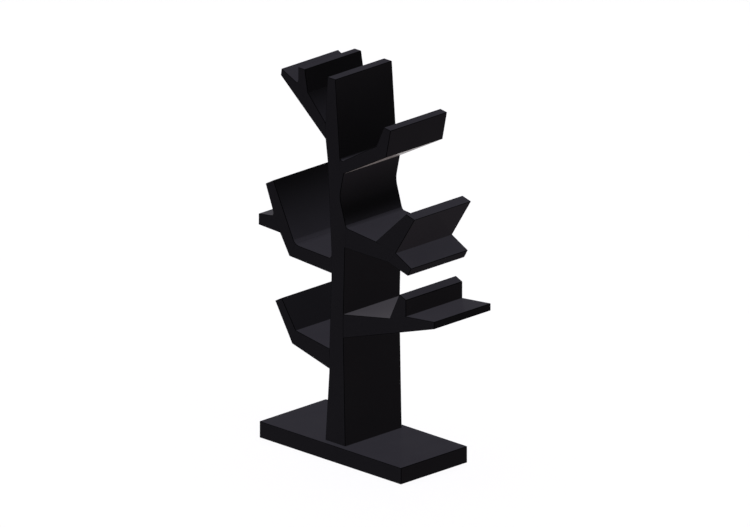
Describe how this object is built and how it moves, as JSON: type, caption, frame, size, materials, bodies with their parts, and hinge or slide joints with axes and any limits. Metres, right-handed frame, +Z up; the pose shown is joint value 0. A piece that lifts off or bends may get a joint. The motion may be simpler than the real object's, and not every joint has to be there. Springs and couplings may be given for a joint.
{
  "type": "tree shaped bookshelf",
  "caption": "Free-standing bookshelf shaped as a faceted tree: a leaning trunk on a slab base, with angled arms, side boards, dividers and ledges that hold books.",
  "frame": {"origin": "on the floor, under the middle of the base slab, which is the middle of the centre felt pad's underside", "axes": "+X to the right as the front is seen, towards the longest ledge; +Y to the back, along the boards' depth; +Z up"},
  "size_m": [0.7441, 0.28, 1.209],
  "materials": {
    "black_lacquer": "satin black lacquer on board",
    "beech": "plain beech dowel",
    "zinc_steel": "zinc plated steel",
    "brass_insert": "turned brass",
    "black_plastic": "matt black plastic",
    "felt": "pressed felt"
  },
  "bodies": {
    "root": {"base_slab": "black_lacquer", "trunk": "black_lacquer", "lower_left_arm": "black_lacquer", "lower_left_side": "black_lacquer", "lower_right_arm": "black_lacquer", "lower_right_divider": "black_lacquer", "middle_left_arm": "black_lacquer", "middle_left_side": "black_lacquer", "middle_left_ledge": "black_lacquer", "middle_right_arm": "black_lacquer", "middle_right_side": "black_lacquer", "middle_right_ledge": "black_lacquer", "upper_right_arm": "black_lacquer", "upper_right_side": "black_lacquer", "upper_left_arm": "black_lacquer", "upper_left_divider": "black_lacquer", "arm_dowels": "beech", "side_dowels": "beech", "divider_dowels": "beech", "base_dowels": "beech", "cam_bolts": "zinc_steel", "cam_locks": "zinc_steel", "divider_screws": "zinc_steel", "screw_plugs": "black_plastic", "base_bolts": "zinc_steel", "base_washers": "zinc_steel", "trunk_inserts": "brass_insert", "floor_pads": "felt"}
  },
  "joints": []
}
